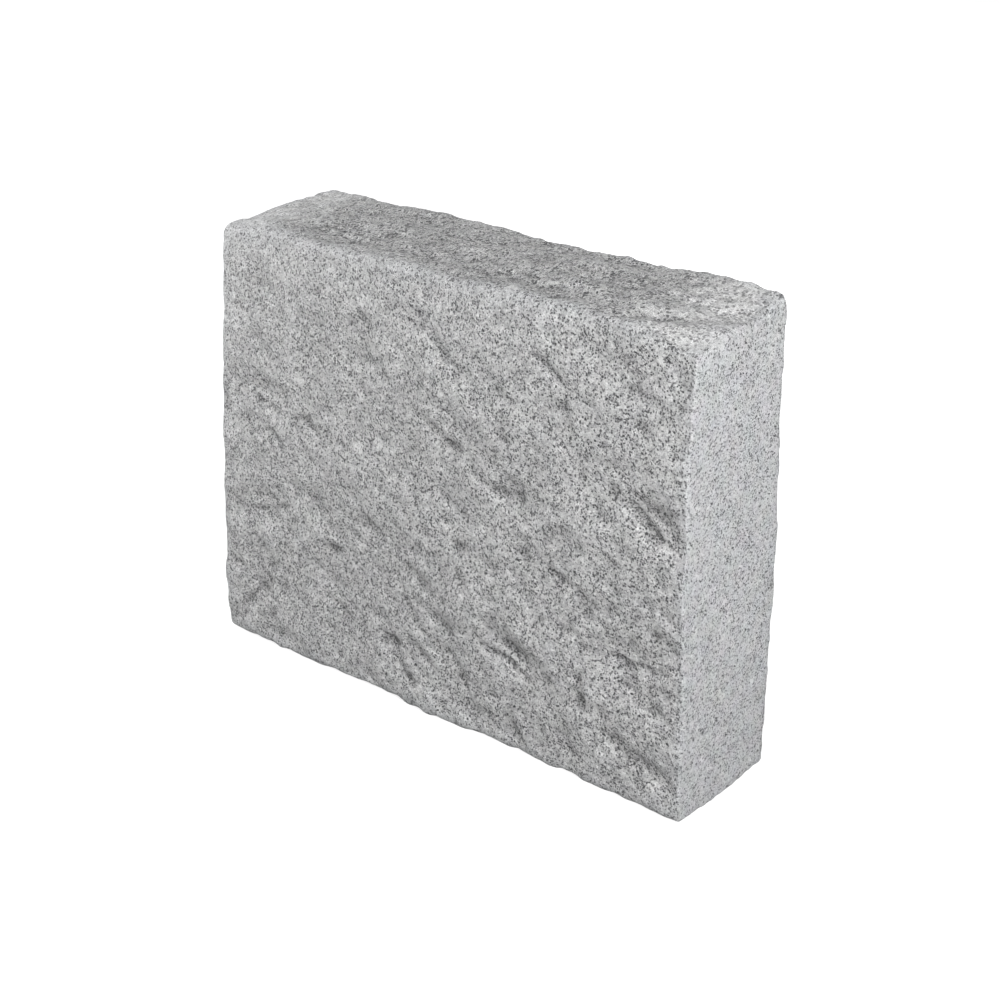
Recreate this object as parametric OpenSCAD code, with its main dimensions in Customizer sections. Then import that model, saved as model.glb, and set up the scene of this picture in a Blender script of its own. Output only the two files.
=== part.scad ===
// Granite wall block: one quarried stone, split on four sides and sawn at both ends.
// It stands on its split bed, with its two big faces upright.
// X runs along the length, from saw cut to saw cut; Y from the front face to the back face; Z is up.
// The origin is the centre of the footprint, on the floor.

/* [Block] */
// Length, between the two saw cuts
block_l = 400; // [300:10:600]
// Thickness, between the planes that the front and back faces were split along
block_w = 122; // [90:2:240]
// Height, from the bed to the highest point of the top face
block_h = 310; // [200:2:400]

/* [Arrises] */
// Radius that the arrises between split faces are worn to
split_arris_r = 6; // [3:0.5:10]
// Radius that the arrises around the saw cuts are worn to
sawn_arris_r = 2; // [1:0.5:6]
// Depth of the corner knocked off at the top right of the front, from where the three planes meet
corner_loss = 27; // [0:1:40]

/* [Split relief] */
// Depth of the broad swell that splitting leaves
swell = 1.6; // [0:0.2:4]
// Distance from one swell to the next, across them
swell_pitch = 52; // [30:2:80]
// Depth of the hackle, the shorter waves on top of the swell
hackle = 1.2; // [0:0.2:2.4]
// Distance from one hackle wave to the next, across them
hackle_pitch = 20; // [16:1:40]
// How much longer a wave is than it is wide
stretch = 1.6; // [1:0.1:3]

/* [Facets] */
// Number of facets along the length
facets_along = 40; // [20:1:48]
// Number of facets up a big face
facets_up = 30; // [16:1:32]
// Number of facets across the top and the bed
facets_across = 10; // [6:1:12]
// Number of facets around a worn arris
facets_round = 2; // [1:1:3]

/* [Hidden] */

// How far each split face lies inside its own plane at its four corners:
// [left low, right low, left high, right high], where low is the bed or the front edge.
front_corners = [0.5, 20, 18.5, 12];
back_corners = [13, 11.5, 0.5, 21];
top_corners = [8.5, 10.5, 0, 3.5];
bed_corners = [1, -1.5, -1, 3];

// Direction in which the waves of each split face run, in degrees from level.
front_lean = -30;
back_lean = 20;
top_lean = 12;
bed_lean = -8;

// Which pattern of waves each split face has: any whole number.
front_seed = 373;
back_seed = 187;
top_seed = 2;
bed_seed = 370;

// Hollows in each split face: [along, up, length, width, lean, depth].
// Along and up are shares of the face; length and width are from the middle to where it fades out.
// A boss has a negative depth.
front_rolls = [
    [0.95, 0.63, 26, 10, -32, 4.5],
    [0.68, 0.60, 24, 8, 5, 3],
    [0.70, 0.23, 30, 10, -30, 4],
    [0.57, 0.13, 20, 8, -35, 3],
    [0.91, 0.11, 24, 9, -20, 3],
    [0.92, 0.34, 26, 9, 0, 3],
    [0.13, 0.39, 26, 10, 15, 3],
    [0.12, 0.64, 26, 9, -8, 2.5],
    [0.09, 0.14, 22, 10, 35, 2.5],
    [0.00, 0.02, 20, 14, 0, 2.5],
    [0.35, 1.05, 150, 25, 0, 5],
    [0.85, 1.03, 90, 45, 0, 6]
];
back_rolls = [
    [0.30, 0.60, 60, 28, 30, 4],
    [0.70, 0.30, 55, 24, -35, 5],
    [0.55, 0.80, 45, 20, 10, 3],
    [1.00, 1.00, 14, 20, 0, 1]
];
top_rolls = [
    [0.50, 0.22, 150, 9, 0, 2.5],
    [1.00, 0.50, 40, 34, 0, 6],
    [0.10, 0.12, 28, 12, 0, -3],
    [0.00, 0.16, 18, 20, 0, 3],
    [1.00, 0.90, 12, 12, 0, 1.5],
    [0.76, 0.90, 14, 14, 0, 2.5],
    [0.50, 0.88, 30, 12, 0, 1.5]
];
bed_rolls = [
    [0.50, 0.50, 80, 20, 0, 2.5],
    [0.15, 0.45, 40, 16, 0, 3],
    [0.35, 0.85, 60, 14, 5, -2.5]
];

// The way that the break of the knocked-off corner faces.
loss_faces = [0.22, -0.32, 0.92];

function blend(t) = t * t * (3 - 2 * t);
function mix(a, b, t) = a + (b - a) * t;
function sum(list) = [for (v = list) 1] * list;

// A number from 0 to 1 that looks random, but is always the same for one lattice point.
function scatter(i, j, seed) =
    let (s = sin(127.1 * i + 311.7 * j + 74.7 * seed) * 43758.5453)
    s - floor(s);

// Smooth waves from -1 to 1, with one lattice point for each whole number.
function waves(u, v, seed) =
    let (i = floor(u), j = floor(v), a = blend(u - i), b = blend(v - j))
    2 * mix(
        mix(scatter(i, j, seed), scatter(i + 1, j, seed), a),
        mix(scatter(i, j + 1, seed), scatter(i + 1, j + 1, seed), a),
        b
    ) - 1;

// The same waves on a face: pitch apart, stretched along the lean.
function relief(u, v, lean, pitch, seed) =
    waves(
        (u * cos(lean) + v * sin(lean)) / (pitch * stretch),
        (v * cos(lean) - u * sin(lean)) / pitch,
        seed
    );

// One hollow: a bell that is longer along its lean than across it.
function roll(r, u, v, size_u, size_v) =
    let (
        du = u - r[0] * size_u,
        dv = v - r[1] * size_v,
        along = (du * cos(r[4]) + dv * sin(r[4])) / r[2],
        across = (dv * cos(r[4]) - du * sin(r[4])) / r[3]
    )
    r[5] * exp(-along * along - across * across);

// How far a split face lies inside its plane at one point.
function set_back(corners, rolls, lean, seed, u, v, size_u, size_v) =
    let (s = u / size_u, t = v / size_v)
    mix(mix(corners[0], corners[1], s), mix(corners[2], corners[3], s), t)
    + sum([for (r = rolls) roll(r, u, v, size_u, size_v)])
    + swell * relief(u, v, lean, swell_pitch, seed)
    + hackle * relief(u, v, lean, hackle_pitch, seed + 10);

function front_in(u, v) =
    set_back(front_corners, front_rolls, front_lean, front_seed, u, v, block_l, block_h);
function back_in(u, v) =
    set_back(back_corners, back_rolls, back_lean, back_seed, u, v, block_l, block_h);
function top_in(u, v) =
    set_back(top_corners, top_rolls, top_lean, top_seed, u, v, block_l, block_w);
function bed_in(u, v) =
    set_back(bed_corners, bed_rolls, bed_lean, bed_seed, u, v, block_l, block_w);

// Moves a point of the plain block onto the split stone.
function on_stone(p) =
    let (
        u = p.x + block_l / 2,
        v = p.y + block_w / 2,
        y_low = front_in(u, p.z) - block_w / 2,
        y_high = block_w / 2 - back_in(u, p.z),
        z_low = bed_in(u, v),
        z_high = block_h - top_in(u, v)
    )
    [p.x, mix(y_low, y_high, v / block_w), mix(z_low, z_high, p.z / block_h)];

// One straight side of the outline and the worn arris after it, as [across, up].
// It starts at from, runs a distance of run in the direction way, and the arris turns clockwise.
function side(from, way, run, count, radius) =
    let (inward = [way.y, -way.x], end = from + way * run)
    [
        for (k = [0:count - 1]) from + way * run * k / count,
        for (k = [0:facets_round - 1])
            let (turn = 90 * k / facets_round)
            end + way * radius * sin(turn) + inward * radius * (1 - cos(turn))
    ];

// The plain block's outline: up the front, over the top, down the back and along the bed.
// inset draws it inwards, for the worn rim of a saw cut.
function outline(inset) =
    let (
        r = split_arris_r - inset / 2,
        y = block_w / 2 - inset,
        low = inset,
        high = block_h - inset,
        run_y = 2 * (y - r),
        run_z = high - low - 2 * r
    )
    concat(
        side([-y, low + r], [0, 1], run_z, facets_up, r),
        side([r - y, high], [1, 0], run_y, facets_across, r),
        side([y, high - r], [0, -1], run_z, facets_up, r),
        side([y - r, low], [-1, 0], run_y, facets_across, r)
    );

// The rim of a saw cut, as [distance in from the cut, inset of the outline], from the cut inwards.
rim = [
    for (k = [0:facets_round - 1])
        let (turn = 90 * k / facets_round)
        sawn_arris_r * [1 - cos(turn), 1 - sin(turn)]
];

// The split stone as rings of points from one cut to the other, closed by a fan at each cut.
module split_stone() {
    end = block_l / 2;
    run = block_l - 2 * sawn_arris_r;
    stations = concat(
        [for (r = rim) [r[0] - end, r[1]]],
        [for (k = [0:facets_along]) [sawn_arris_r - end + run * k / facets_along, 0]],
        [for (k = [1:facets_round]) let (r = rim[facets_round - k]) [end - r[0], r[1]]]
    );
    rings = [for (s = stations) [for (c = outline(s[1])) on_stone([s[0], c[0], c[1]])]];
    count = len(rings);
    around = len(rings[0]);
    left = count * around;
    right = left + 1;
    last = left - around;
    points = [
        each [for (ring = rings) each ring],
        [-end, 0, block_h / 2],
        [end, 0, block_h / 2]
    ];
    faces = [
        for (i = [0:count - 2], j = [0:around - 1])
            let (a = i * around + j, b = i * around + (j + 1) % around)
            each [[a, b, b + around], [a, b + around, a + around]],
        for (j = [0:around - 1]) [left, (j + 1) % around, j],
        for (j = [0:around - 1]) [right, last + j, last + (j + 1) % around]
    ];
    polyhedron(points, faces);
}

// All that lies beyond the break of the knocked-off corner, as a big cube that rests on the break.
module lost_corner() {
    way = loss_faces / norm(loss_faces);
    corner = [block_l / 2, -block_w / 2, block_h];
    translate(corner - corner_loss * way)
    rotate([0, acos(way.z), atan2(way.y, way.x)])
    translate([-block_h / 2, -block_h / 2, 0])
    cube(block_h);
}

module granite_block() {
    color([0.66, 0.66, 0.67])
    difference() {
        intersection() {
            split_stone();
            // The saw cuts and the knocked-down high points of the bed
            translate([-block_l / 2, -block_w / 2, 0]) cube([block_l, block_w, block_h]);
        }
        lost_corner();
    }
}

granite_block();
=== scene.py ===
# %% [markdown]
# # A granite wall block
#
# This lesson dresses one stone: a block of grey granite for a garden wall, split on four sides and sawn
# at both ends. Its plain solid is already there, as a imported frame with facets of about 10 mm. The lesson
# puts a finely modelled skin over it, gives the skin a granite that is worked out from its minerals, and
# sets up a small studio round it. Shapes are worked out in millimetres, as a mason would give them, and
# turned into metres last.

import bpy
import mathutils
import numpy as np
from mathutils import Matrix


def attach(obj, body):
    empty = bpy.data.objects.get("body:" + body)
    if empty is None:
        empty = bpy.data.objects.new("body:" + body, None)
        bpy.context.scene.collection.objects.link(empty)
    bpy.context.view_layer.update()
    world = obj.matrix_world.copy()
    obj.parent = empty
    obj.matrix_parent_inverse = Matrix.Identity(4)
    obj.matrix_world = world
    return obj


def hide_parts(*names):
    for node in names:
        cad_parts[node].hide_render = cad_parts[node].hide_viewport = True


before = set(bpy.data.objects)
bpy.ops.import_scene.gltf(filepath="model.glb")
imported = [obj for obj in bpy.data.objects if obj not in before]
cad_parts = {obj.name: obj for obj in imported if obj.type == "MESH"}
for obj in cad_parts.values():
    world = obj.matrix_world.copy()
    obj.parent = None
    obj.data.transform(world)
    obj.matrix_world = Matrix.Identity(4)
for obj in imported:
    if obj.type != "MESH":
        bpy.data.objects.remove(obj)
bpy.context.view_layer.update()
MM = 0.001


# %% [markdown]
# ## The size of the stone
#
# The saw sets the length exactly. The other two sizes are only the planes that the mason split along, and
# every split face wanders inside its plane. Such a stone could be sculpted by hand, but one that is worked
# out from a few numbers can be measured, and it stays in step with its solid. For each face four corner
# values say how far inside its plane it lies there. They make the stone taper and twist a little, as a
# split stone does.

# %% Sizes, in millimetres
BLOCK = np.array([400.0, 122.0, 310.0])  # length, thickness, height

# Distance inside the plane: [left low, right low, left high, right high]. On the top and the bed, low is
# the edge at the front.
CORNERS = {
    "front": [0.5, 20, 18.5, 12],
    "back": [13, 11.5, 0.5, 21],
    "top": [8.5, 10.5, 0, 3.5],
    "bed": [1, -1.5, -1, 3],
}
thickness = [float(BLOCK[1]) - front - back for front, back in zip(CORNERS["front"], CORNERS["back"])]
print("thickness at the four corners of the big faces:", thickness, "mm")

# %% [markdown]
# ## Waves from random numbers
#
# Nothing on a split face repeats, and yet it is all of one kind. Value noise is like that: a random
# number at each point of a lattice, with a smooth blend in between. Blender's Noise texture could move
# the skin too, but a formula can be written down twice, and the solid has these same waves. The random
# numbers are the fractions of a large sine, so a lattice point always gets the same one.

# %% Blends and value noise
def mix(a, b, t):
    """a where t is 0, b where t is 1, and a straight blend in between."""
    return a + (b - a) * t


def smooth(t):
    """The S-curve 3t^2 - 2t^3, level at 0 and at 1."""
    return t * t * (3 - 2 * t)


def rise(value, low, high):
    """0 below low, 1 above high, and the S-curve in between."""
    return smooth(np.clip((value - low) / (high - low), 0, 1))


def scatter(i, j, seed):
    """A number from 0 to 1 for each lattice point: the fraction of a large sine of its indices."""
    s = np.sin(np.radians(127.1 * i + 311.7 * j + 74.7 * seed)) * 43758.5453
    return s - np.floor(s)


def waves(u, v, seed):
    """Value noise from -1 to 1: the four nearest lattice numbers, blended with the S-curve."""
    i, j = np.floor(u), np.floor(v)
    a, b = smooth(u - i), smooth(v - j)
    low = mix(scatter(i, j, seed), scatter(i + 1, j, seed), a)
    high = mix(scatter(i, j + 1, seed), scatter(i + 1, j + 1, seed), a)
    return 2 * mix(low, high, b) - 1


sample = waves(*np.meshgrid(np.arange(0, 30, 0.25), np.arange(0, 30, 0.25)), 0)
print("the waves run from", round(float(sample.min()), 2), "to", round(float(sample.max()), 2))

# %% [markdown]
# ## What splitting leaves
#
# A row of wedges opens granite along a plane, but the crack wanders. It leaves a broad swell, and on top
# of it shorter waves called hackle. On one face they all run the same way, so the lattice of each face is
# turned by its lean and stretched along it. Each kind of wave adds its own number to the seed of the
# face, or the two would rise and fall together.

# %% Swell and hackle
SWELL, SWELL_PITCH = 1.6, 52.0
HACKLE, HACKLE_PITCH, HACKLE_SEED = 1.2, 20.0, 10
STRETCH = 1.6
LEAN = {"front": -30, "back": 20, "top": 12, "bed": -8}
SEED = {"front": 373, "back": 187, "top": 2, "bed": 370}


def turned(u, v, degrees):
    """The same place measured along and across a direction that leans by some degrees:
    [u cos + v sin, v cos - u sin]."""
    c, s = np.cos(np.radians(degrees)), np.sin(np.radians(degrees))
    return u * c + v * s, v * c - u * s


def swell_and_hackle(face, u, v):
    """For each of the two sizes: height times the waves at along / (pitch * stretch), across / pitch."""
    along, across = turned(u, v, LEAN[face])
    swell = SWELL * waves(along / (SWELL_PITCH * STRETCH), across / SWELL_PITCH, SEED[face])
    hackle = waves(along / (HACKLE_PITCH * STRETCH), across / HACKLE_PITCH, SEED[face] + HACKLE_SEED)
    return swell + HACKLE * hackle


across_front = np.meshgrid(np.arange(0, BLOCK[0], 4), np.arange(0, BLOCK[2], 4))
print("swell and hackle of the front:", np.ptp(swell_and_hackle("front", *across_front)).round(1), "mm")

# %% [markdown]
# ## Hollows
#
# Where a shell of stone came off with the waste, it left a shallow hollow, and where the crack ran a
# little wide, it left a boss. Each is a bell, which is longer along its lean than across it. Brush strokes
# in Sculpt Mode would do as well, but a bell has a place and a size that can be written down. The solid
# has the same ones, apart from the last three of the top, which are too narrow for its facets.

# %% The hollows of each face
# Each hollow: share along, share up, half length, half width, lean in degrees, depth. A boss is negative.
HOLLOWS = {
    "front": [
        (0.95, 0.63, 26, 10, -32, 4.5),
        (0.68, 0.60, 24, 8, 5, 3),
        (0.70, 0.23, 30, 10, -30, 4),
        (0.57, 0.13, 20, 8, -35, 3),
        (0.91, 0.11, 24, 9, -20, 3),
        (0.92, 0.34, 26, 9, 0, 3),
        (0.13, 0.39, 26, 10, 15, 3),
        (0.12, 0.64, 26, 9, -8, 2.5),
        (0.09, 0.14, 22, 10, 35, 2.5),
        (0.00, 0.02, 20, 14, 0, 2.5),
        (0.35, 1.05, 150, 25, 0, 5),
        (0.85, 1.03, 90, 45, 0, 6),
    ],
    "back": [
        (0.30, 0.60, 60, 28, 30, 4),
        (0.70, 0.30, 55, 24, -35, 5),
        (0.55, 0.80, 45, 20, 10, 3),
        (1.00, 1.00, 14, 20, 0, 1),
    ],
    "top": [
        (0.50, 0.22, 150, 9, 0, 2.5),
        (1.00, 0.50, 40, 34, 0, 6),
        (0.10, 0.12, 28, 12, 0, -3),
        (0.00, 0.16, 18, 20, 0, 3),
        (1.00, 0.90, 12, 12, 0, 1.5),
        (0.76, 0.90, 14, 14, 0, 2.5),
        (0.50, 0.88, 30, 12, 0, 1.5),
        (0.885, 0.18, 30, 9, 41, 4.2),
        (0.30, 0.92, 26, 12, 0, -2.6),
        (0.90, 0.92, 26, 12, 0, -2.0),
    ],
    "bed": [
        (0.50, 0.50, 80, 20, 0, 2.5),
        (0.15, 0.45, 40, 16, 0, 3),
        (0.35, 0.85, 60, 14, 5, -2.5),
    ],
}


def hollows(face, u, v, size_u, size_v):
    """The sum of the bells depth * exp(-(along / half length)^2 - (across / half width)^2)."""
    depth = 0
    for share_u, share_v, length, width, lean, bell in HOLLOWS[face]:
        along, across = turned(u - share_u * size_u, v - share_v * size_v, lean)
        depth = depth + bell * np.exp(-((along / length) ** 2) - (across / width) ** 2)
    return depth


print("hollows on each face:", {face: len(bells) for face, bells in HOLLOWS.items()})

# %% [markdown]
# ## Scars
#
# A scar is a short step: the crack jumped to a deeper layer, and then climbed back slowly. A bump in the
# material could draw its shadow, but the step would be missing from the outline and from the arrises, so
# the scars are cut into the skin. Two sizes of waves make their edges ragged, because the crack followed
# the crystals.

# %% The scars of each face
SCAR_EDGE = 4.4  # width of the step
SCAR_RUN = 13.0  # distance over which the surface climbs back
SCAR_DEEPER = 1.25  # all depths below are times this
SCAR_WOBBLE, WOBBLE_PITCHES, WOBBLE_SEED = 1.5, (9, 23), 20

# Each scar: share along, share up, half length, lean in degrees, depth.
SCARS = {
    "front": [
        (0.94, 0.63, 17, -38, 3.4),
        (0.89, 0.67, 9, -48, 1.8),
        (0.675, 0.60, 14, -4, 2.2),
        (0.68, 0.22, 26, -24, 3.4),
        (0.59, 0.11, 16, -40, 2.4),
        (0.46, 0.09, 12, -50, 2.4),
        (0.42, 0.16, 10, -15, 2.2),
        (0.92, 0.33, 20, -2, 2.6),
        (0.91, 0.09, 16, -18, 2.4),
        (0.12, 0.37, 22, 14, 2.6),
        (0.12, 0.62, 16, -10, 2.2),
        (0.20, 0.61, 12, 5, 2.0),
        (0.06, 0.57, 8, 50, 1.2),
        (0.06, 0.12, 20, 38, 2.2),
        (0.28, 0.33, 10, 0, 2.2),
        (0.33, 0.39, 11, -25, 2.4),
        (0.47, 0.25, 10, -50, 1.8),
        (0.83, 0.22, 15, -88, 2.4),
        (0.78, 0.46, 11, -30, 2.2),
        (0.83, 0.42, 10, -45, 2.0),
        (0.58, 0.45, 7, -20, 2.0),
        (0.56, 0.67, 8, -10, 1.8),
        (0.51, 0.90, 11, -120, 2.0),
        (0.79, 0.80, 9, -60, 1.4),
        (0.92, 0.88, 14, -5, 2.0),
        (0.60, 0.84, 8, -40, 1.0),
        (0.30, 0.19, 14, -20, 1.8),
        (0.70, 0.05, 12, -50, 1.6),
        (0.97, 0.24, 8, -40, 1.4),
        (0.89, 0.46, 9, -50, 1.6),
    ],
    "back": [
        (0.20, 0.70, 26, 20, 2.8),
        (0.38, 0.35, 22, -30, 2.6),
        (0.62, 0.62, 28, 15, 3.0),
        (0.80, 0.20, 22, -10, 2.6),
        (0.86, 0.78, 18, 40, 2.2),
        (0.12, 0.25, 18, 10, 2.4),
        (0.52, 0.15, 20, 25, 2.2),
        (0.48, 0.85, 16, -20, 2.0),
    ],
    "top": [
        (0.25, 0.30, 30, 178, 2.4),
        (0.46, 0.64, 26, -175, 1.8),
        (0.66, 0.30, 20, 170, 1.8),
        (0.80, 0.62, 20, 160, 1.8),
        (0.12, 0.66, 18, 175, 1.8),
    ],
    "bed": [
        (0.30, 0.50, 24, 10, 2.2),
        (0.70, 0.40, 22, -15, 2.4),
    ],
}


def scar(along, below, length, depth):
    """A step in the surface. Below its edge it falls by the S-curve of below / edge and comes back slowly
    by exp(-below / run), and along the edge it dies out by exp(-(along / half length)^4)."""
    fall = rise(below, 0, SCAR_EDGE)
    return SCAR_DEEPER * depth * fall * np.exp(-np.maximum(below, 0) / SCAR_RUN - (along / length) ** 4)


def scars(face, u, v, size_u, size_v):
    """The sum of a face's scars. The distance below each edge is changed by the two sizes of waves."""
    seeds = SEED[face] + WOBBLE_SEED, SEED[face] + WOBBLE_SEED + 1
    edges = [waves(u / pitch, v / pitch, seed) for pitch, seed in zip(WOBBLE_PITCHES, seeds)]
    wobble = SCAR_WOBBLE * (edges[0] + edges[1])
    depth = 0
    for share_u, share_v, length, lean, fall in SCARS[face]:
        along, across = turned(u - share_u * size_u, v - share_v * size_v, lean)
        depth = depth + scar(along, wobble - across, length, fall)
    return depth


print("scars on each face:", {face: len(steps) for face, steps in SCARS.items()})

# %% [markdown]
# ## The rims of the saw cuts
#
# A saw cut has a sharp rim only until the stone is handled. It is worn in one place and chipped in the
# next, and here it is knocked off widest along the top of the right end. A Bevel modifier would round it
# evenly all the way, so the rim is a quarter circle with a radius that wanders.

# %% The wandering rim
# Radius on average, at [the left end, the right end].
RIM_R = {"front": [2.0, 1.9], "back": [2.0, 2.5], "top": [2.5, 7.0], "bed": [1.0, 1.5]}
RIM_VARIES = 0.9  # how much of the radius wanders
RIM_LONG, RIM_SHORT = 0.6, 0.7  # shares of the long and the short waves in that
RIM_PITCH, RIM_FINER, RIM_SEED = 24, 4, 30
RIM_WIDE = 3  # radius from which the short waves are held back
OTHER_END = 40  # how far away in the noise the right end lies


def rim(face, u, v, size_u):
    """The rim of a saw cut as a quarter circle, r - sqrt(r^2 - (r - d)^2) at distance d from the cut. Its
    radius r is the average times 1 + varies * (long waves + short waves) along the rim."""
    right = u > size_u / 2
    mean = np.where(right, RIM_R[face][1], RIM_R[face][0])
    along = v / RIM_PITCH + OTHER_END * right
    short = RIM_SHORT * np.minimum(1, RIM_WIDE / mean)
    long_waves = RIM_LONG * waves(along, 0 * v, SEED[face] + RIM_SEED)
    short_waves = short * waves(RIM_FINER * along, 0 * v, SEED[face] + RIM_SEED + 1)
    radius = mean * (1 + RIM_VARIES * (long_waves + short_waves))
    into = np.clip(radius - np.minimum(u, size_u - u), 0, radius)
    return radius - np.sqrt(radius**2 - into**2)


up_the_rim = np.linspace(0, BLOCK[2], 200)
taken_off = rim("front", np.full(200, BLOCK[0]), up_the_rim, BLOCK[0])
print("radius of the right rim at the front:", taken_off.min().round(1), "to", taken_off.max().round(1), "mm")

# %% [markdown]
# ## The four split faces together
#
# A point of a plain block is moved onto the stone by its place between two opposite faces: it keeps its
# share of the way from one to the other. So the arrises need no care of their own, because each point
# near one is moved by both of its faces. The bed is knocked flat where it would reach below the floor.

# %% From the plain block to the split stone
def set_back(face, u, v, size_u, size_v):
    """How far a split face lies inside its plane: a straight blend of its four corners, plus its
    hollows, rims, scars, swell and hackle."""
    low_left, low_right, high_left, high_right = CORNERS[face]
    s, t = u / size_u, v / size_v
    depth = mix(mix(low_left, low_right, s), mix(high_left, high_right, s), t)
    depth = depth + hollows(face, u, v, size_u, size_v) + rim(face, u, v, size_u)
    return depth + scars(face, u, v, size_u, size_v) + swell_and_hackle(face, u, v)


def on_stone(p):
    """Moves points of a plain block onto the split stone: a blend of the front and the back by the share
    of the thickness, and a blend of the bed and the top by the share of the height."""
    length, width, height = BLOCK
    u, v, z = p[..., 0] + length / 2, p[..., 1] + width / 2, p[..., 2]
    y_low = set_back("front", u, z, length, height) - width / 2
    y_high = width / 2 - set_back("back", u, z, length, height)
    z_low = np.maximum(set_back("bed", u, v, length, width), 0)
    z_high = height - set_back("top", u, v, length, width)
    return np.stack([p[..., 0], mix(y_low, y_high, v / width), mix(z_low, z_high, z / height)], -1)


probe = np.array([[0.0, -BLOCK[1] / 2, BLOCK[2] / 2], [0.0, BLOCK[1] / 2, BLOCK[2] / 2]])
print("thickness at the middle:", round(float(np.diff(on_stone(probe)[:, 1])[0]), 1), "mm")

# %% [markdown]
# ## The corner that was knocked off
#
# The corner at the top right of the front has broken off, as happens when blocks are tipped in a heap. A
# Boolean cut would leave a sharp edge and very thin triangles. Moving all that lies beyond the break back
# onto it keeps the skin whole, and lets the edge be soft.

# %% The break
CORNER = BLOCK * [0.5, -0.5, 1.0]  # where the three planes would meet
CORNER_LOSS = 27.0  # how far below that the break lies
LOSS_FACES = np.array([0.22, -0.32, 0.92])  # the way that the break faces
LOSS_SOFT = 2.0  # how soft its edge is


def knocked_off(p):
    """Moves what lies beyond the break by h back onto it. The edge is soft, because the move is
    s * log(1 + exp(h / s))."""
    way = LOSS_FACES / np.linalg.norm(LOSS_FACES)
    beyond = (p - CORNER) @ way + CORNER_LOSS
    step = LOSS_SOFT * np.logaddexp(0, beyond / LOSS_SOFT)
    return p - step[..., None] * way


print("the corner moves in by", round(float(np.linalg.norm(knocked_off(CORNER) - CORNER)), 1), "mm")

# %% [markdown]
# ## The skin as one grid
#
# The whole skin is one grid with two parameters. One goes round the block: up the front, over the top,
# down the back and along the bed, with a worn arris at each turn. The other goes along it, from the rim
# of one saw cut to the rim of the other. A subdivided cube would bunch its faces at the arrises, but a
# grid that runs this way has even cells of about 2 mm on all four split faces.

# %% The outline round the block
CELL = 2.1
SPLIT_ARRIS_R = 6.0
ROUND_STEPS = 4
STEPS_ACROSS, STEPS_UP = round(BLOCK[1] / CELL), round(BLOCK[2] / CELL)
QUARTER = np.radians(90 * np.arange(ROUND_STEPS) / ROUND_STEPS)


def side(start, way, run, steps, radius):
    """One straight side of the outline, and after it a quarter circle that turns clockwise."""
    start, way = np.array(start, float), np.array(way, float)
    inward = np.array([way[1], -way[0]])
    share = np.arange(steps)[:, None] / steps
    turn = QUARTER[:, None]
    arc = start + way * run + way * radius * np.sin(turn) + inward * radius * (1 - np.cos(turn))
    return np.vstack([start + way * run * share, arc])


def outline(inset):
    """The plain block's section drawn inwards by inset, as [across, up] points: four straight sides,
    each with its worn arris."""
    r = SPLIT_ARRIS_R - inset / 2
    y, low, high = BLOCK[1] / 2 - inset, inset, BLOCK[2] - inset
    run_y, run_z = 2 * (y - r), high - low - 2 * r
    sides = [
        side([-y, low + r], [0, 1], run_z, STEPS_UP, r),
        side([r - y, high], [1, 0], run_y, STEPS_ACROSS, r),
        side([y, high - r], [0, -1], run_z, STEPS_UP, r),
        side([y - r, low], [-1, 0], run_y, STEPS_ACROSS, r),
    ]
    return np.vstack(sides)


print("points round the block:", len(outline(0)))

# %% The rings from saw cut to saw cut
SAWN_ARRIS_R = 1.5


def rings():
    """The grid of plain points, ring by ring: the rim of each saw cut is a quarter circle in [distance
    from the cut, inset], and the length between them is cut into even steps."""
    half = BLOCK[0] / 2
    rim_outlines = [outline(SAWN_ARRIS_R * (1 - np.sin(turn))) for turn in QUARTER]
    rim_in = SAWN_ARRIS_R * (1 - np.cos(QUARTER))
    steps = round(BLOCK[0] / CELL)
    along = np.linspace(SAWN_ARRIS_R - half, half - SAWN_ARRIS_R, steps + 1)
    sections = np.array(rim_outlines + [outline(0)] * (steps + 1) + rim_outlines[::-1])
    x = np.concatenate([rim_in - half, along, half - rim_in[::-1]])
    x = np.broadcast_to(x[:, None, None], sections.shape[:2] + (1,))
    return np.concatenate([x, sections], -1)


plain = rings()
stone = knocked_off(on_stone(plain))
print("rings:", plain.shape[0], "points in each:", plain.shape[1])

# %% [markdown]
# ## Waves in space
#
# The next relief has to run on over the arrises without a seam, so its waves are worked out in three
# dimensions, where a face is only a slice. On the real stone it leans as the hackle does, so the points
# are turned and squeezed first. To give a wave the steep side of a break, it is looked up a second time
# at a place that its own height has shifted, as the sea does with a wave that is about to break.

# %% Waves in three dimensions
def scatter_3d(i, j, k, seed):
    """A number from 0 to 1 for each point of a lattice in space: the fraction of a large sine."""
    s = np.sin(12.9898 * i + 78.233 * j + 37.719 * k + 4.137 * seed) * 43758.5453
    return s - np.floor(s)


def waves_3d(p, seed):
    """Value noise from -1 to 1 in space: the eight nearest lattice numbers, blended with the S-curve."""
    cell = np.floor(p)
    i, j, k = np.moveaxis(cell, -1, 0)
    a, b, c = np.moveaxis(smooth(p - cell), -1, 0)
    planes = []
    for up in (k, k + 1):
        low = mix(scatter_3d(i, j, up, seed), scatter_3d(i + 1, j, up, seed), a)
        high = mix(scatter_3d(i, j + 1, up, seed), scatter_3d(i + 1, j + 1, up, seed), a)
        planes.append(mix(low, high, b))
    return 2 * mix(planes[0], planes[1], c) - 1


def leaning(p, degrees, stretch):
    """The points as [along / stretch, y, across], so that waves come out long in the way they lean."""
    along, across = turned(p[..., 0], p[..., 2], degrees)
    return np.stack([along / stretch, p[..., 1], across], -1)


BREAKING = 0.4  # how far a wave leans over, for each unit of its height


def breaking(q, seed):
    """The waves w(q - breaking * w(q)), shifted along the third axis: one side gentle and one steep."""
    first = waves_3d(q, seed)
    return waves_3d(q - np.stack([0 * first, 0 * first, BREAKING * first], -1), seed)


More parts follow.
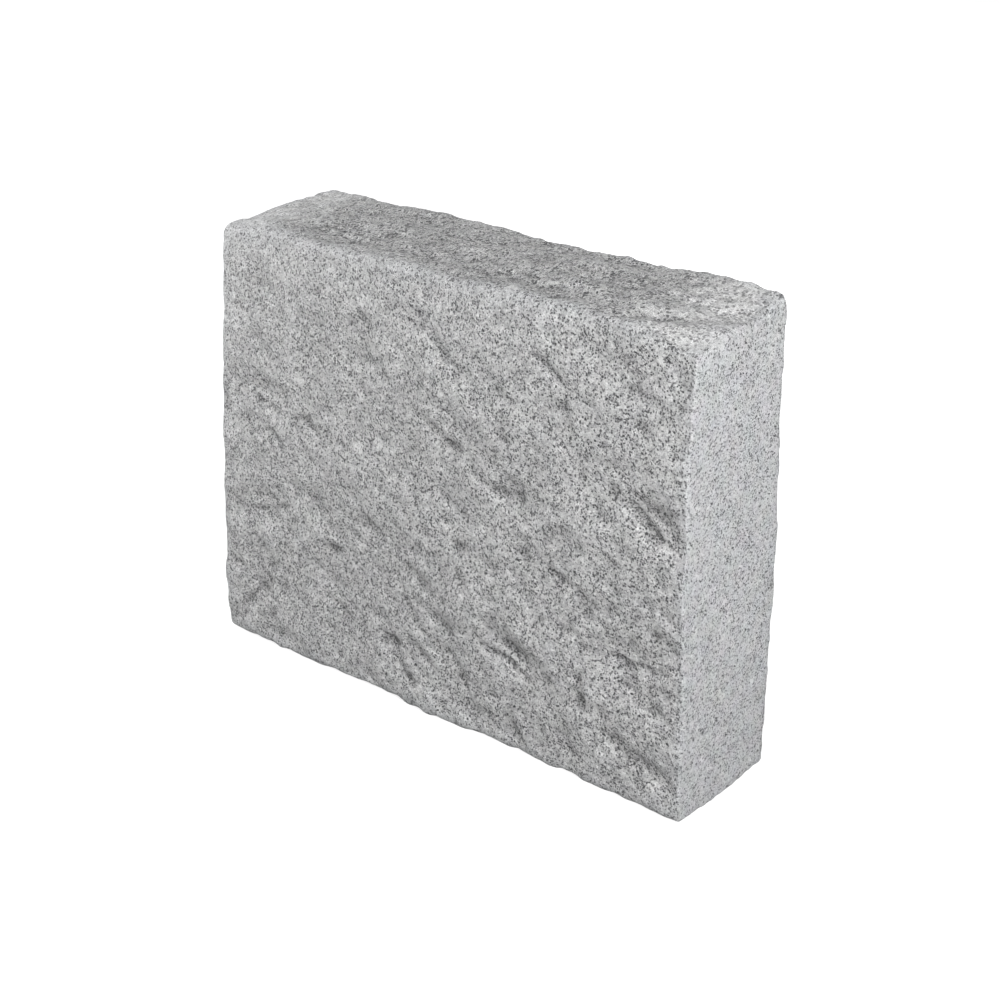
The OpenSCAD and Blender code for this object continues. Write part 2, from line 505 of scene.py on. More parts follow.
calm_row = np.stack([np.full(400, 0.5), np.full(400, 0.5), np.linspace(0, 20, 400)], -1)
slopes = [np.abs(np.diff(kind(calm_row, 21))).max() for kind in (waves_3d, breaking)]
print("breaking makes the steepest place", round(float(slopes[1] / slopes[0]), 1), "times as steep")

# %% [markdown]
# ## The broken surface
#
# Between the hackle and the single crystals, a split face is a field of small ledges and pits, where the
# crack jumped from one crystal to the next. A Displace modifier could add them from a texture, but it
# would give every place the same share. Worked out here, the ledges are rougher on the top and towards
# the lower right, as the crack ran.

# %% Ledges, crumbs and pits
LEDGE_HEIGHT, LEDGE_PITCH, LEDGE_STRETCH, LEDGE_SEED = 1.1, 10.0, 1.6, 21
COARSE, FINE_SHARE, FINE_PITCH, FINE_SEED = 0.6, 0.6, LEDGE_PITCH / 1.7, 23
CRUMB_HEIGHT, CRUMB_PITCH, CRUMB_SEED = 0.5, 5.0, 22
PIT_DEPTH, PIT_PITCH, PIT_SHARE, PIT_SEED = 2.2, 16.0, 0.22, 25
TOP_ROUGHER = 1.6
TOP_STARTS, TOP_FULL = 16, 8  # distances below the top of the block
ROUGH_PITCH, ROUGH_VARIES, ROUGH_SEED = 70.0, 0.3, 24
CALM, WILD = 0.7, 1.4  # at the upper left and at the lower right
RIGHTWARDS = 0.35  # how much of that growth is to the right; the rest is downwards


def roughness_at(p):
    """How rough the break is from place to place: it grows from calm to wild by a blend of the share of
    the way down and the share of the way right. That is multiplied on the top, and by slow waves."""
    share = mix(1 - p[..., 2] / BLOCK[2], p[..., 0] / BLOCK[0] + 0.5, RIGHTWARDS)
    top = mix(1, TOP_ROUGHER, rise(p[..., 2], BLOCK[2] - TOP_STARTS, BLOCK[2] - TOP_FULL))
    return mix(CALM, WILD, share) * top * (1 + ROUGH_VARIES * waves_3d(p / ROUGH_PITCH, ROUGH_SEED))


def ledges(p):
    """Small ledges: breaking waves of two sizes, plus finer crumbs, minus pits where another wave is
    higher than the pits' share."""
    q = leaning(p, LEAN["front"], LEDGE_STRETCH)
    coarse = breaking(q / LEDGE_PITCH, LEDGE_SEED) + FINE_SHARE * breaking(q / FINE_PITCH, FINE_SEED)
    crumbs = waves_3d(q / CRUMB_PITCH, CRUMB_SEED)
    pit = np.clip(breaking(q / PIT_PITCH, PIT_SEED) - PIT_SHARE, 0, 1)
    return (LEDGE_HEIGHT * COARSE * coarse + CRUMB_HEIGHT * crumbs - PIT_DEPTH * pit) * roughness_at(p)


ledge_relief = ledges(stone)
print("ledges reach from", ledge_relief.min().round(1), "to", ledge_relief.max().round(1), "mm")

# %% [markdown]
# Where two split faces meet, the arris is chipped as well as worn. A chip is the high part of a slow wave,
# which keeps chips apart from each other. Chips and ledges move the skin along its normals, and they fade
# out at the saw cuts, because the saw came after the wedges.

# %% Chipped arrises, and the skin that all of it makes
CHIP_DEPTH, CHIP_REACH = 1.6, 7.0
CHIP_WAVES = ((17.0, 31, 0.7), (7.0, 32, 0.5))  # pitch, seed and share of each
FADE = 3.5


def chips(p, near_arris):
    """Chips on the arrises: only the high part of two slow waves, squared, and only close to an arris."""
    high = sum(share * waves_3d(p / pitch, seed) for pitch, seed, share in CHIP_WAVES)
    return -CHIP_DEPTH * np.clip(high, 0, 1) ** 2 * near_arris


def outward(grid):
    """The unit normals of the grid: the cross product of its two directions."""
    round_way = np.roll(grid, -1, 1) - np.roll(grid, 1, 1)
    long_way = np.gradient(grid, axis=0)
    normal = np.cross(long_way, round_way)
    return normal / np.maximum(np.linalg.norm(normal, axis=-1, keepdims=True), 1e-9)


def split_share(grid):
    """0 at the saw cuts, and 1 from FADE millimetres inside them."""
    return rise(BLOCK[0] / 2 - np.abs(grid[..., 0]), 0, FADE)


def broken(grid, plain, relief):
    """The stone moved along its normals by its relief and its chips. Near an arris is the bell
    exp(-(d / reach)^2), where d is the plain point's distance inside the arris."""
    to_side = BLOCK[1] / 2 - np.abs(plain[..., 1])
    to_level = BLOCK[2] / 2 - np.abs(plain[..., 2] - BLOCK[2] / 2)
    near_arris = np.exp(-((np.maximum(to_side, to_level) / CHIP_REACH) ** 2))
    move = (relief + chips(grid, near_arris)) * split_share(plain)
    return grid + outward(grid) * move[..., None]


skin = broken(stone, plain, ledge_relief)
lift = np.linalg.norm(skin - stone, axis=-1)
print("the skin is moved by", lift.mean().round(2), "mm on average, and by", lift.max().round(2), "at most")

# %% [markdown]
# ## The flat of each saw cut
#
# A saw cut is flat right up to its rim. One face with many corners would fill it, but it would shade badly
# next to the rim, and rings that are scaled towards the middle would fold over themselves where the rim
# is chipped. So the rings start from a copy of the rim that is averaged along itself. It is first drawn
# in evenly, and only then scaled down towards the middle.

# %% The rings inside each rim
END_RINGS = 9
END_INSET = 6.0
CALMED = 40  # rounds of averaging
CLOSER_OUTSIDE = 0.8  # a power under 1 sets the outer rings closer together


def sawn_end(ring):
    """Rings that fill a saw cut, from near its middle outwards: the averaged rim, drawn in by END_INSET on
    all sides, times the shares (1 / n, 2 / n, ... 1) ^ power."""
    calm = ring
    for _ in range(CALMED):
        calm = (np.roll(calm, 1, 0) + calm + np.roll(calm, -1, 0)) / 3
    middle = calm.mean(0)
    extent = np.maximum(np.ptp(calm, axis=0) / 2, END_INSET)
    inner = (calm - middle) * (1 - END_INSET / extent)
    grow = (np.arange(1, END_RINGS + 1) / END_RINGS) ** CLOSER_OUTSIDE
    rings_in = middle + inner * grow[:, None, None]
    rings_in[..., 0] = ring[0, 0]
    return rings_in


skin = np.concatenate([sawn_end(skin[0]), skin, sawn_end(skin[-1])[::-1]])
print("the skin has", skin.shape[0], "rings of", skin.shape[1], "points")

# %% [markdown]
# ## Hollow, level and worn places
#
# Dust and painted shade darken the hollows, and more dark flecks show in them. On what is level the
# painted shadows of the crystals are deeper, and near the ends a thin film lies on it, and whatever stands
# out is bruised by handling. The material has to know these places. The renderer could find the sharp
# corners with its Pointiness, but it looks no further than the next point. So the skin is compared here
# with blurred copies of itself, and the results are stored on its points for the material to read.

# %% Comparing the skin with its surroundings
HOLLOW_ROUNDS = ((3, 0.7), (10, 0.85))  # rounds of blurring, and the share of each
WORN_ROUNDS, WORN_FROM, WORN_FULL = 30, 0.5, 3.0
LEVEL_ROUNDS, LEVEL_FROM, LEVEL_FULL = 6, 0.72, 0.92


def blurred(grid, rounds):
    """Each value moved to the average of itself and its neighbours, a number of rounds over. The grid
    closes round the block, and its first and last ring only look inwards."""
    for _ in range(rounds):
        grid = (np.roll(grid, 1, 1) + grid + np.roll(grid, -1, 1)) / 3
        grid = (np.concatenate([grid[:1], grid[:-1]]) + grid + np.concatenate([grid[1:], grid[-1:]])) / 3
    return grid


def below_surroundings(grid, rounds):
    """How far each point lies below the blurred skin, along the normal, in millimetres."""
    return np.sum((blurred(grid, rounds) - grid) * outward(grid), -1)


hollow = sum(share * below_surroundings(skin, rounds) for rounds, share in HOLLOW_ROUNDS) * split_share(skin)
worn = rise(-below_surroundings(skin, WORN_ROUNDS), WORN_FROM, WORN_FULL)
level = rise(blurred(outward(skin)[..., 2], LEVEL_ROUNDS), LEVEL_FROM, LEVEL_FULL)
print("hollows, the deepest hundredth:", np.percentile(hollow, 99).round(2), "mm")
print("worn:", f"{np.mean(worn > 0.5):.1%}", "of the points; level:", f"{np.mean(level > 0.5):.1%}")

# %% [markdown]
# ## The mesh
#
# The rings become a mesh in one go, with four-sided faces between them. At each end a fan of triangles
# closes the skin, which makes it a solid that can be weighed or printed. Adding the faces one by one with
# BMesh would work too, but whole arrays are much quicker for some ninety thousand of them.

# %% The skin as a closed mesh
def closed_mesh(name, grid):
    """A mesh from a grid of rings: faces between neighbours, and at each end a fan from one middle point."""
    count, around = grid.shape[:2]
    middles = np.array([grid[0].mean(0), grid[-1].mean(0)])
    verts = np.vstack([grid.reshape(-1, 3), middles]) * MM
    i, j = np.meshgrid(np.arange(count - 1), np.arange(around), indexing="ij")
    here, beside = i * around + j, i * around + (j + 1) % around
    quads = np.stack([here, here + around, beside + around, beside], -1).reshape(-1, 4)
    j = np.arange(around)
    left = np.stack([np.full(around, len(verts) - 2), j, (j + 1) % around], -1)
    last = (count - 1) * around
    right = np.stack([np.full(around, len(verts) - 1), last + (j + 1) % around, last + j], -1)
    mesh = bpy.data.meshes.new(name)
    mesh.from_pydata(verts.tolist(), [], quads.tolist() + left.tolist() + right.tolist())
    mesh.update()
    mesh.shade_smooth()
    return mesh


block = bpy.data.objects.new("split_granite", closed_mesh("split_granite", skin))
bpy.context.collection.objects.link(block)
at_the_middles = [0, 0]
for name, values in (("hollow", hollow), ("level", level), ("worn", worn)):
    stored = block.data.attributes.new(name, "FLOAT", "POINT")
    stored.data.foreach_set("value", np.append(values.ravel(), at_the_middles).astype(np.float32))
print("triangles:", sum(len(face.vertices) - 2 for face in block.data.polygons))

# %% [markdown]
# A face of a saw cut that looks inwards has been folded over by its neighbours, and would show as a black
# sliver. Such slivers are easy to miss by eye, so they are counted.

# %% A look for folded faces
FLAT = 0.01  # how near a saw cut a face has to lie to be part of it


def of_faces(mesh, what):
    """One vector of each face, as rows of an array."""
    values = np.empty(len(mesh.polygons) * 3)
    mesh.polygons.foreach_get(what, values)
    return values.reshape(-1, 3)


facing, at = of_faces(block.data, "normal")[:, 0], of_faces(block.data, "center")[:, 0]
end_faces = np.abs(at) > (BLOCK[0] / 2 - FLAT) * MM
print("folded faces in the saw cuts:", int((facing * np.sign(at) < 0)[end_faces].sum()))

# %% [markdown]
# ## Granite
#
# Granite is three minerals side by side. Feldspar is whitish and makes up most of it, quartz is a clear
# grey, and dark mica lies between them as small flakes. An image texture would repeat and show its seams,
# so the minerals are drawn by nodes: a Voronoi texture gives every cell a random number, and the number
# says which mineral it is. All of it is looked up in Object coordinates, so it runs through the stone like
# the real grain. They are multiplied by a thousand first, to count in millimetres.

# %% Nodes, and the places that they look up
granite = bpy.data.materials.new("granite")
granite.use_nodes = True
tree = granite.node_tree
tree.nodes.clear()


def add(tree, kind, inputs=None, **settings):
    """Adds a node, sets its settings, and fills its inputs with values or links from other nodes."""
    node = tree.nodes.new(kind)
    for key, value in settings.items():
        setattr(node, key, value)
    for key, value in (inputs or {}).items():
        if isinstance(value, bpy.types.NodeSocket):
            tree.links.new(value, node.inputs[key])
        else:
            node.inputs[key].default_value = value
    return node


place = add(tree, "ShaderNodeTexCoord").outputs["Object"]
in_mm = add(tree, "ShaderNodeVectorMath", {0: place, "Scale": 1 / MM}, operation="SCALE").outputs["Vector"]
print("places are multiplied by", round(1 / MM))

# %% [markdown]
# ## Where the stone is sawn, level or worn
#
# The same granite looks different by how it was worked. A sawn end is smoother, lighter and cooler. On
# the level top the speckle of painted shadow is deeper and the ground between it lighter, as a grazing
# light would show it, and towards its two ends a thin pale film covers the crystals. Worn places are
# duller. Separate materials would meet in a hard line, so one material blends them by masks, from the
# distance to the saw cuts and the values stored on the skin.

# %% Masks from 0 to 1
SAWN_FROM, SAWN_FULL = 1.5, 0.3  # distances from the saw cut
FILM_FROM, FILM_FULL = 70, 20
FINER_WITHIN, SAWN_FINER = 0.8, 1.2  # the grain looks finer where the saw cut it
LEVEL_COARSER = 0.75


def maths(tree, operation, *values):
    """A Math node with its values or links in order; returns its output."""
    return add(tree, "ShaderNodeMath", dict(enumerate(values)), operation=operation).outputs[0]


def product(first, *others):
    """All the values or links of the granite multiplied together, one after the other."""
    for other in others:
        first = maths(tree, "MULTIPLY", first, other)
    return first


def ramp(tree, value, low, high, out_low=0.0, out_high=1.0):
    """The S-curve of value from low to high, level at both ends."""
    inputs = {"Value": value, "From Min": low, "From Max": high, "To Min": out_low, "To Max": out_high}
    return add(tree, "ShaderNodeMapRange", inputs, interpolation_type="SMOOTHSTEP").outputs["Result"]


def stored_on_skin(name):
    """A value that the skin's points carry."""
    return add(tree, "ShaderNodeAttribute", attribute_name=name).outputs["Fac"]


def by_mask(mask, off, on):
    """A number that is off where a mask is 0 and on where it is 1."""
    return maths(tree, "MULTIPLY_ADD", mask, on - off, off)


half_length = float(BLOCK[0]) / 2
position = add(tree, "ShaderNodeSeparateXYZ", {"Vector": in_mm})
from_middle = maths(tree, "ABSOLUTE", position.outputs["X"])
sawn = ramp(tree, from_middle, half_length - SAWN_FROM, half_length - SAWN_FULL)
is_level, is_worn, sunk = stored_on_skin("level"), stored_on_skin("worn"), stored_on_skin("hollow")
filmed = product(is_level, ramp(tree, from_middle, half_length - FILM_FROM, half_length - FILM_FULL))
lying = maths(tree, "SUBTRACT", is_level, filmed)
in_the_cut = maths(tree, "GREATER_THAN", from_middle, half_length - FINER_WITHIN)
mostly_level = maths(tree, "GREATER_THAN", is_level, 0.5)
finer = product(by_mask(in_the_cut, 1.0, SAWN_FINER), by_mask(mostly_level, 1.0, LEVEL_COARSER))
print("nodes for the masks:", len(tree.nodes))

# %% [markdown]
# ## The light minerals
#
# The cells of a Voronoi texture are too straight for crystals, so the places are shaken by a little noise
# first. One random number of a cell says whether it is quartz or feldspar, and another how white the
# feldspar is. Next to the saw cuts, and where the stone is worn, crushed crystals turn all of it a cool
# grey. The film, and the dust and painted shade of the hollows, come later, because they lie on the
# minerals and not in them.

# %% Noise and grains
CRYSTAL, SHAKE_SIZE = 1.8, 1.6


def noise(size, detail=2.0):
    """A Noise node whose lumps are about size millimetres across."""
    inputs = {"Vector": in_mm, "Scale": 1 / size, "Detail": detail, "Roughness": 0.5}
    return add(tree, "ShaderNodeTexNoise", inputs).outputs


def grains(size, at):
    """A Voronoi node whose cells are about size millimetres across, and smaller where the stone is sawn."""
    return add(tree, "ShaderNodeTexVoronoi", {"Vector": at, "Scale": product(finer, 1 / size)})


def draws_of(cells):
    """The three random numbers of each cell, as Red, Green and Blue."""
    return add(tree, "ShaderNodeSeparateColor", {"Color": cells.outputs["Color"]}).outputs


# The noise runs from 0 to 1, so with 0.5 less it moves the places both ways.
both_ways = {0: noise(SHAKE_SIZE)["Color"], 1: (0.5, 0.5, 0.5)}
shake = add(tree, "ShaderNodeVectorMath", both_ways, operation="SUBTRACT").outputs["Vector"]


def shaken(amount):
    """The places moved by amount times the noise, so by about a quarter of amount in millimetres."""
    inputs = {0: shake, 1: (amount, amount, amount), 2: in_mm}
    return add(tree, "ShaderNodeVectorMath", inputs, operation="MULTIPLY_ADD").outputs["Vector"]


ragged, nearly = shaken(2.6), shaken(1.0)
crystals = draws_of(grains(CRYSTAL, ragged))
print("crystals are about", CRYSTAL, "mm across")

# %% Quartz, feldspar and bruises
FELDSPAR = (0.61, 0.61, 0.61, 1)
FELDSPAR_GREY = (0.50, 0.50, 0.50, 1)
QUARTZ = (0.41, 0.41, 0.415, 1)
BRUISED = (0.485, 0.495, 0.51, 1)
QUARTZ_BELOW, FELDSPAR_FROM = 0.15, 0.35
BRUISE_FROM, BRUISE_FULL, SAW_BRUISE, WEAR_BRUISE = 8, 1, 0.5, 0.4


def over(share, under, colour, kind="MIX"):
    """One colour over another by a share from 0 to 1. The sockets 0, 6 and 7 of a Mix node are its
    factor and its two colours."""
    inputs = {0: share, 6: under, 7: colour}
    return add(tree, "ShaderNodeMix", inputs, data_type="RGBA", blend_type=kind).outputs[2]


feldspar = over(crystals["Green"], FELDSPAR_GREY, FELDSPAR)
light = over(ramp(tree, crystals["Red"], QUARTZ_BELOW, FELDSPAR_FROM), QUARTZ, feldspar)
by_the_saw = ramp(tree, from_middle, half_length - BRUISE_FROM, half_length - BRUISE_FULL, 0.0, SAW_BRUISE)
light = over(maths(tree, "MAXIMUM", by_the_saw, product(is_worn, WEAR_BRUISE)), light, BRUISED)
print("greys of quartz and of feldspar:", QUARTZ[0], "and", FELDSPAR_GREY[0], "to", FELDSPAR[0])

# %% [markdown]
# ## Light and dark patches
#
# A split face is never evenly grey. Clouds of a couple of centimetres come from the rock, a mottle of a
# few millimetres from groups of crystals, and a fine speckle from the tiny shadows that broken crystals
# cast. One noise with much detail would tie the three together, so each is a noise of its own and can be
# set by itself. A saw cut keeps less of each, because it has no shadows.

# %% Clouds, mottle, speckle and tone
# Each tone: on a split face, on a sawn end.
CLOUD_SIZE, CLOUD_DARK, CLOUD_PALE = 22.0, (0.92, 0.98), (1.06, 1.02)
MOTTLE_SIZE, MOTTLE_DARK, MOTTLE_PALE = 3.6, (0.88, 0.96), (1.05, 1.03)
SPECKLE_SIZE, SPECKLE_DARK, SPECKLE_PALE = 0.72, (0.76, 0.82), (1.22, 1.16)
# On the level top the speckle of painted shadow goes deeper and the ground gets lighter: painted light and
# shade for a light that grazes the top.
LYING_SHADOW_DEEPER, LYING_LIT_LIGHTER = 0.35, 1.10
FILM_LIGHTER, WORN_DARKER = 1.15, 0.94
# Painted shade and light: the stone is darkened towards the bed and lightened towards the top, as the light
# falls off downwards.
SHADED_FOOT, LIT_HEAD = 0.96, 1.025  # tone at the bed and at the top


def lumps(size, dark, pale, low=0.3, high=0.7, detail=2.0):
    """A tone that goes from dark to pale as a noise rises from low to high, where most of it lies."""
    return ramp(tree, noise(size, detail)["Fac"], low, high, dark, pale)


def scaled(colour, tone):
    """A colour made darker or lighter by a number."""
    return add(tree, "ShaderNodeVectorMath", {0: colour, "Scale": tone}, operation="SCALE").outputs["Vector"]


cloud = lumps(CLOUD_SIZE, by_mask(sawn, *CLOUD_DARK), by_mask(sawn, *CLOUD_PALE))
mottle = lumps(MOTTLE_SIZE, by_mask(sawn, *MOTTLE_DARK), by_mask(sawn, *MOTTLE_PALE))
# The speckle's painted shadow is deeper on the level top.
deepest = maths(tree, "SUBTRACT", by_mask(sawn, *SPECKLE_DARK), product(lying, LYING_SHADOW_DEEPER))
speckle = lumps(SPECKLE_SIZE, deepest, by_mask(sawn, *SPECKLE_PALE), low=0.32, high=0.70, detail=1.0)
tone = product(cloud, mottle, speckle, by_mask(lying, 1.0, LYING_LIT_LIGHTER), by_mask(filmed, 1.0, FILM_LIGHTER))
tone = product(tone, by_mask(is_worn, 1.0, WORN_DARKER))
# Painted shade towards the bed and painted light towards the top.
light = scaled(light, product(tone, ramp(tree, position.outputs["Z"], 0, float(BLOCK[2]), SHADED_FOOT, LIT_HEAD)))
darkest = CLOUD_DARK[0] * MOTTLE_DARK[0] * SPECKLE_DARK[0]
palest = CLOUD_PALE[0] * MOTTLE_PALE[0] * SPECKLE_PALE[0]
print("the tone of a split face runs from", round(darkest, 2), "to", round(palest, 2))

# %% [markdown]
# ## The dark flecks
#
# Mica flakes lie every way, so they are drawn as four sets, each drawn out in a direction of its own. A
# fleck is the middle of a Voronoi cell that won its draw, and a second draw says how dark it is. The
# flecks come in loose swarms, and more of them show in the hollows, which adds to the painted shade
# there. Only the largest set uses the strongly shaken places: small cells would be torn into worms by
# them. A fifth set is milky instead of dark, for the few big feldspars that every granite has.

# %% Mica and milky feldspar
MICA = (0.04, 0.04, 0.043, 1)
MILKY = (0.70, 0.70, 0.70, 1)
SWARM, FEWER, MORE = 7.0, 0.7, 1.3  # size of a swarm, and how the share of flecks varies
# More flecks in the hollows make them darker, as part of their painted shade.
CROWD_FROM, CROWD_FULL, CROWD = 0.1, 1.6, 0.18  # depths of a hollow, and the share that it adds
DRAW_LOW, DRAW_HIGH = 0.1, 0.9  # draws that give the faintest and the darkest fleck
FULLY_DARK = 0.6  # share of its reach within which a fleck is fully dark
crowd = ramp(tree, sunk, CROWD_FROM, CROWD_FULL, 0.0, CROWD)


def flecks(size, turn, long, share, reach, faintest, at=nearly):
    """A mask of flecks: cells drawn out along a turned direction. A share of them are picked by their
    random number, and each picked one is dark within reach of its middle, by a random strength."""
    inputs = {"Vector": at, "Rotation": turn, "Scale": (long, 1, 1)}
    drawn_out = add(tree, "ShaderNodeMapping", inputs, vector_type="TEXTURE").outputs["Vector"]
    cells = grains(size, drawn_out)
    draws = draws_of(cells)
    swarm = lumps(SWARM, 1 - share * FEWER, 1 - share * MORE, detail=1.0)
    picked = maths(tree, "GREATER_THAN", draws["Blue"], maths(tree, "SUBTRACT", swarm, crowd))
    strength = ramp(tree, draws["Red"], DRAW_LOW, DRAW_HIGH, faintest, 1.0)
    middle = ramp(tree, cells.outputs["Distance"], reach, reach * FULLY_DARK)
    return product(picked, strength, middle)


steep = flecks(1.7, (0.3, 0.2, 1.25), long=1.5, share=0.11, reach=0.60, faintest=0.7, at=ragged)
lengthwise = flecks(1.2, (0.2, 0.9, -0.6), long=1.3, share=0.16, reach=0.72, faintest=0.6)
fine = flecks(1.0, (0.1, -0.4, 1.5), long=1.2, share=0.15, reach=0.76, faintest=0.35)
dots = flecks(0.9, (0.7, 0.1, 0.3), long=1.1, share=0.15, reach=0.78, faintest=0.35)
big = flecks(6.5, (0.4, 0.1, 0.5), long=1.2, share=0.09, reach=0.55, faintest=0.5)
print("nodes with the flecks:", len(tree.nodes))

# %% Flecks over the light minerals, and dust and painted shade in the hollows
SAWN_FAINTER, FILM_FAINTER, WORN_FAINTER = 0.8, 0.72, 0.9
MILKY_SHARE = 0.5
# Dust and painted shade in the hollows: the colour falls to about two thirds in the deepest, and a trace of
# painted light lifts what stands out.
DUST_AND_SHADE_FROM, DUST_AND_SHADE_FULL, CLEAN_AND_LIT, DUSTY = -0.4, 1.5, 1.02, 0.66

mica = maths(tree, "MAXIMUM", steep, lengthwise)
small = product(maths(tree, "MAXIMUM", fine, dots), by_mask(sawn, 1.0, SAWN_FAINTER))
hidden = product(by_mask(filmed, 1.0, FILM_FAINTER), by_mask(is_worn, 1.0, WORN_FAINTER))
dark = product(maths(tree, "MAXIMUM", mica, small), hidden)
colour = over(dark, over(product(big, MILKY_SHARE), light, MILKY), MICA)
# Painted shade with the dust: darker in the hollows, a little lighter where the skin stands out.
colour = scaled(colour, ramp(tree, sunk, DUST_AND_SHADE_FROM, DUST_AND_SHADE_FULL, CLEAN_AND_LIT, DUSTY))
print("dust takes away up to", f"{1 - DUSTY:.0%}", "of the light in a hollow")

# %% [markdown]
# ## The colour of the sawn ends
#
# The blade bruises the crystals instead of parting them, and its mud dries between them, so a saw cut is
# a little cooler and more even than a split face. A trace of a coloured noise over everything keeps the
# grey from looking like paint: no two grains of a real stone have quite the same hue.

# %% The bruise of the blade, and a trace of hue
BLADE_BRUISE, BLADE_SHARE = (0.36, 0.368, 0.39, 1), 0.05
HUE_SIZE, HUE_SHARE, SAWN_HUE_SHARE = 12.0, 0.02, 0.03

colour = over(sawn, colour, over(BLADE_SHARE, colour, BLADE_BRUISE))
hue_share = maths(tree, "ADD", HUE_SHARE, product(sawn, SAWN_HUE_SHARE))
colour = over(hue_share, colour, noise(HUE_SIZE)["Color"], kind="OVERLAY")
print("the hue is there by", HUE_SHARE, "and by", round(HUE_SHARE + SAWN_HUE_SHARE, 3), "on the sawn ends")

# %% [markdown]
# ## The touch of the crystals
#
# Broken crystals are rough, and only quartz and mica have faces that shine a little. The crystals
# themselves are smaller than the cells of the skin, so their relief is a bump in the material and not
# more geometry, which would take tens of millions of faces. The saw has ground most of it away.

# %% Roughness and bump
SMOOTHEST, ROUGHEST, MICA_SMOOTHER = 0.5, 0.8, 0.2
SHINY_BELOW = 0.5  # the draws of the crystals that shine a little
CRYSTAL_STEP, MICA_DIP = 0.35, 0.35
BUMPS = ((1.5, 3.0, 0.8), (4.5, 2.0, 1.6))  # size, detail and height of each noise
BUMP_DISTANCE, BUMP_SPLIT, BUMP_SAWN = 0.8, 0.8, 0.2
UPRIGHT, LYING = 0.8, 1.25  # how the bump differs from the upright faces to the level top

gloss = ramp(tree, crystals["Red"], 0.0, SHINY_BELOW, SMOOTHEST, ROUGHEST)
rough = maths(tree, "SUBTRACT", gloss, product(mica, MICA_SMOOTHER))
height = product(crystals["Blue"], CRYSTAL_STEP)
for size, detail, tall in BUMPS:
    height = maths(tree, "ADD", height, product(noise(size, detail)["Fac"], tall))
height = maths(tree, "SUBTRACT", height, product(mica, MICA_DIP))
strength = product(by_mask(sawn, BUMP_SPLIT, BUMP_SAWN), by_mask(lying, UPRIGHT, LYING))
bump = add(tree, "ShaderNodeBump", {"Strength": strength, "Distance": BUMP_DISTANCE * MM, "Height": height})
print("nodes with the bump:", len(tree.nodes))

# %% The finished granite, on the skin
finish = {"Base Color": colour, "Roughness": rough, "Normal": bump.outputs["Normal"], "IOR": 1.5}
shader = add(tree, "ShaderNodeBsdfPrincipled", finish)
add(tree, "ShaderNodeOutputMaterial", {"Surface": shader.outputs["BSDF"]})
block.data.materials.append(granite)
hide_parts("granite_block")
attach(block, "root")
print("granite nodes:", len(tree.nodes))

# %% [markdown]
# ## The floor
#
# The stone stands on a pale grey floor that runs out of sight. Where the camera sees it straight, it
# glows as well, and more so further out, until it meets the white of the background. A plain white floor
# would either cut the background with a grey horizon or throw too much light back at the stone. This one
# does neither, and it keeps the shadow of the stone.

# %% A pale floor with a glow
FLOOR_REACH = 6.0
FLOOR_GREY = (0.4, 0.4, 0.4, 1)
WHITE = (1, 1, 1, 1)
GLOW_FROM, GLOW_FULL, GLOW_NEAR, GLOW_FAR = 0.3, 1.1, 0.80, 1.0  # metres from the stone, then strengths

floor_mesh = bpy.data.meshes.new("floor")
corners = [(x * FLOOR_REACH, y * FLOOR_REACH, 0) for x, y in ((-1, -1), (1, -1), (1, 1), (-1, 1))]
floor_mesh.from_pydata(corners, [], [(0, 1, 2, 3)])
floor = bpy.data.objects.new("floor", floor_mesh)
bpy.context.collection.objects.link(floor)
floor_paint = bpy.data.materials.new("floor_paint")
floor_paint.use_nodes = True
paint = floor_paint.node_tree
paint.nodes.clear()
matt = add(paint, "ShaderNodeBsdfDiffuse", {"Color": FLOOR_GREY})
straight = add(paint, "ShaderNodeLightPath").outputs["Is Camera Ray"]
spot = add(paint, "ShaderNodeTexCoord").outputs["Object"]
away = add(paint, "ShaderNodeVectorMath", {0: spot}, operation="LENGTH").outputs["Value"]
glow_by_place = ramp(paint, away, GLOW_FROM, GLOW_FULL, GLOW_NEAR, GLOW_FAR)
glow_strength = maths(paint, "MULTIPLY", straight, glow_by_place)
glow = add(paint, "ShaderNodeEmission", {"Color": WHITE, "Strength": glow_strength})
both = add(paint, "ShaderNodeAddShader", {0: matt.outputs[0], 1: glow.outputs[0]})
add(paint, "ShaderNodeOutputMaterial", {"Surface": both.outputs[0]})
floor_mesh.materials.append(floor_paint)
print("the floor is", 2 * FLOOR_REACH, "m across")

# %% [markdown]
# ## The light
#
# Stone shows its relief best in soft light from one side, as on an overcast day near a window. A big lamp
# to the right and in front models the sawn end and the front. Two weaker ones, at the left and behind,
# keep the other sides from going black, and an even sky fills the rest. The sky is pale grey for the
# stone, and plain white only where the camera or a reflection sees it, because a white sky would wash
# the relief out.

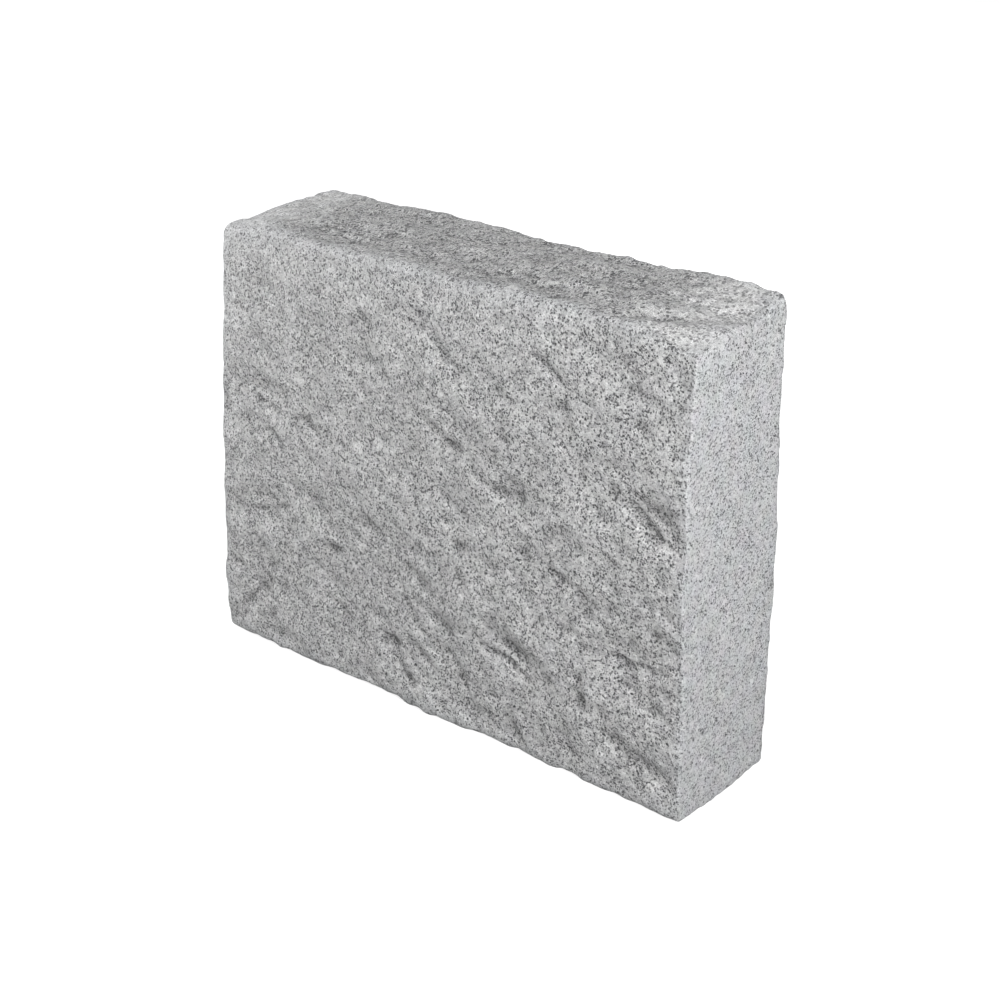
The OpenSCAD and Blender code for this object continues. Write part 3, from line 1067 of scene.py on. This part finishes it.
# %% The sky
SKY_LIGHT = 0.29
world = bpy.data.worlds.new("studio")
bpy.context.scene.world = world
world.use_nodes = True
sky = world.node_tree
sky.nodes.clear()
path = add(sky, "ShaderNodeLightPath").outputs
direct = maths(sky, "MAXIMUM", path["Is Camera Ray"], path["Is Glossy Ray"])
sky_strength = maths(sky, "ADD", SKY_LIGHT, maths(sky, "MULTIPLY", direct, 1 - SKY_LIGHT))
backdrop = add(sky, "ShaderNodeBackground", {"Color": WHITE, "Strength": sky_strength})
add(sky, "ShaderNodeOutputWorld", {"Surface": backdrop.outputs[0]})
print("the sky lights the stone by", SKY_LIGHT)

# %% The lamps
LAMP_SIZE = 0.7


def lamp(name, towards, distance, power):
    """A square area lamp in a direction from the stone's middle, turned to face it."""
    source = bpy.data.lights.new(name, "AREA")
    source.size = LAMP_SIZE
    source.energy = power
    made = bpy.data.objects.new(name, source)
    bpy.context.collection.objects.link(made)
    way = np.array(towards, float) / np.linalg.norm(towards)
    middle = np.array([0, 0, BLOCK[2] / 2 * MM])
    made.location = middle + way * distance
    made.visible_camera = False
    made.rotation_euler = mathutils.Vector(way).to_track_quat("Z", "Y").to_euler()
    return source


lamps = [
    lamp("key_lamp", (0.79, -0.45, 0.40), 1.5, 22.3),
    lamp("fill_lamp", (-0.93, -0.26, 0.30), 1.1, 11),
    lamp("back_lamp", (-0.25, 1.0, 0.06), 1.3, 12),
]
print("lamps:", {source.name: f"{source.energy:.1f} W" for source in lamps})

# %% [markdown]
# ## The camera
#
# The view is from the front and the right, a little above the stone, which shows three of its faces at
# once. A longish lens keeps the upright edges nearly parallel; a short one, close by, would make them
# lean together. The camera is set by two angles and a distance from the point that it looks at, because
# these are easier to judge than a place and a rotation.

# %% The camera round its aim
AZIMUTH, ELEVATION = 42.69, 22.36
DISTANCE = 1041.5 * MM
AIM = mathutils.Vector((-20.9, 44.4, 119.9)) * MM

camera_data = bpy.data.cameras.new("camera")
camera_data.lens = 54.45
camera_data.sensor_width = 36
camera = bpy.data.objects.new("camera", camera_data)
bpy.context.collection.objects.link(camera)
a, e = np.radians(AZIMUTH), np.radians(ELEVATION)
way = mathutils.Vector((np.sin(a) * np.cos(e), -np.cos(a) * np.cos(e), np.sin(e)))
camera.location = AIM + way * DISTANCE
camera.rotation_euler = way.to_track_quat("Z", "Y").to_euler()
bpy.context.scene.camera = camera
bpy.context.scene.view_settings.view_transform = "Standard"
print("the camera is at", [round(c, 3) for c in camera.location], "m")
